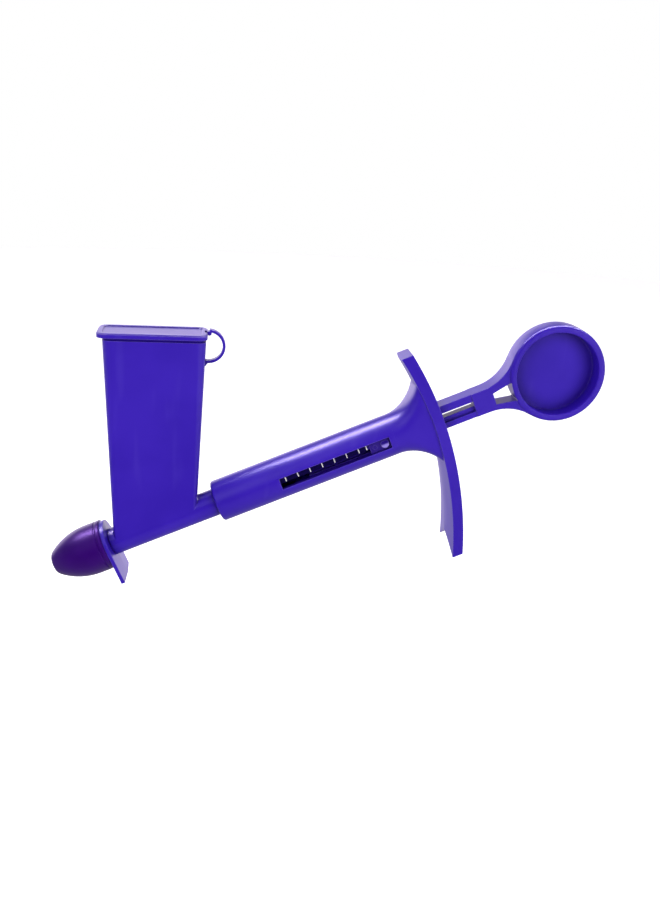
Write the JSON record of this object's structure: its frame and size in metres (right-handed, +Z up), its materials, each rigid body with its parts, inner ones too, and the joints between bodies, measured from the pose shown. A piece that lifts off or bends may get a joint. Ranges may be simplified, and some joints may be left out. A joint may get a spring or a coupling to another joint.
{
  "type": "oral syringe",
  "caption": "Hand-held dosing syringe with a feed hopper on the barrel, hinged lid, soft nozzle cap, finger flange, scale window and sliding plunger with a thumb disc.",
  "frame": {"origin": "middle of the bounding box of the whole object, plunger at its rest position and lid shut", "axes": "+Z up along the hopper, +X towards the thumb disc in the plane of the hopper and the barrel, +Y away from the side on which the scale window opens; the barrel rises 23.2 degrees from X towards Z"},
  "size_m": [0.1964, 0.023, 0.098],
  "materials": {
    "shell": "satin injection-moulded blue-violet plastic",
    "soft_cap": "soft dark violet silicone",
    "seal": "soft dark blue elastomer",
    "slider": "satin moulded blue-violet plastic",
    "print_black": "matt black strip",
    "print_white": "matt white marks"
  },
  "bodies": {
    "barrel_group": {"hopper_body": "shell", "nozzle_guard": "shell", "lid_tether": "shell", "grip_sleeve": "shell", "scale_strip": "print_black", "scale_marks": "print_white"},
    "lid": {"hopper_lid": "shell", "lid_seal": "seal"},
    "cap": {"nozzle_cap": "soft_cap"},
    "plunger": {"plunger_rod": "shell", "piston_seal": "seal"},
    "slider": {"dose_slider": "slider"}
  },
  "joints": [
    {"name": "plunger_slide", "type": "slide", "parent": "barrel_group", "child": "plunger", "axis": [0.9191, 0, 0.3939], "range_m": [-0.01, 0.032]},
    {"name": "lid_hinge", "type": "hinge", "parent": "barrel_group", "child": "lid", "pos_m": [-0.04257, 0, 0.04201], "axis": [0, 1, 0], "range_deg": [0, 100]},
    {"name": "cap_slide", "type": "slide", "parent": "barrel_group", "child": "cap", "axis": [-0.9191, 0, -0.3939], "range_m": [0, 0.036]},
    {"name": "slider_slide", "type": "slide", "parent": "barrel_group", "child": "slider", "axis": [0.9191, 0, 0.3939], "range_m": [-0.033, 0]}
  ]
}
